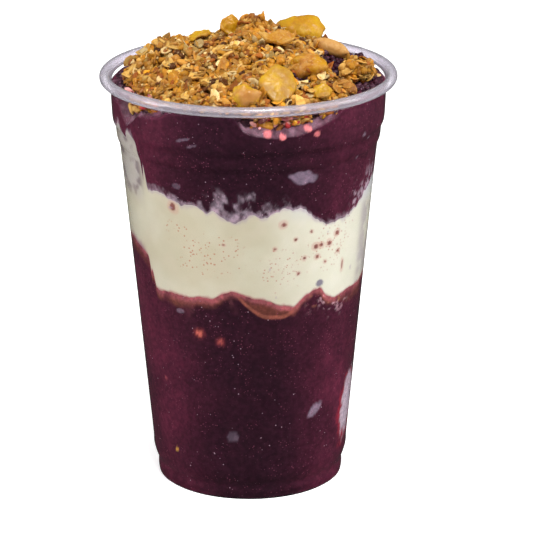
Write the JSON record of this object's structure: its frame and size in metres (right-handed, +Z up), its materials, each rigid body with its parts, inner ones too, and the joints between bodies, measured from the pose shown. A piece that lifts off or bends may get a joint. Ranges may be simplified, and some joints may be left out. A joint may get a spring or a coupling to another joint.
{
  "type": "acai cup with granola",
  "caption": "Tall clear plastic cup of dark acai with a band of cream through it, heaped with granola, fruit chips and nuts.",
  "frame": {"origin": "centre of the cup's foot ring, on the surface it stands on", "axes": "+Z up along the cup's axis; -Y is the front, the side first seen"},
  "size_m": [0.098, 0.098, 0.1579],
  "materials": {
    "clear_plastic": "clear thin plastic, glossy",
    "acai": "moist frozen puree, soft gloss",
    "cream": "smooth cream, soft gloss",
    "granola": "toasted oats and crisps, dry",
    "fruit_chip": "dried fruit, slightly glossy",
    "nut": "toasted nut, satin",
    "glazed_cluster": "baked with a thin sugar glaze"
  },
  "bodies": {
    "root": {"cup": "clear_plastic", "acai_lower": "acai", "cream_layer": "cream", "acai_upper": "acai", "granola_heap": "granola", "chip_folded": "fruit_chip", "chip_front": "fruit_chip", "chip_pale": "fruit_chip", "chip_standing": "fruit_chip", "chip_flat": "fruit_chip", "flake_curled": "nut", "nut_long": "nut", "nut_brown": "nut", "fruit_piece": "fruit_chip", "cluster_glazed": "glazed_cluster", "cluster_top": "granola", "cluster_right": "granola"}
  },
  "joints": []
}
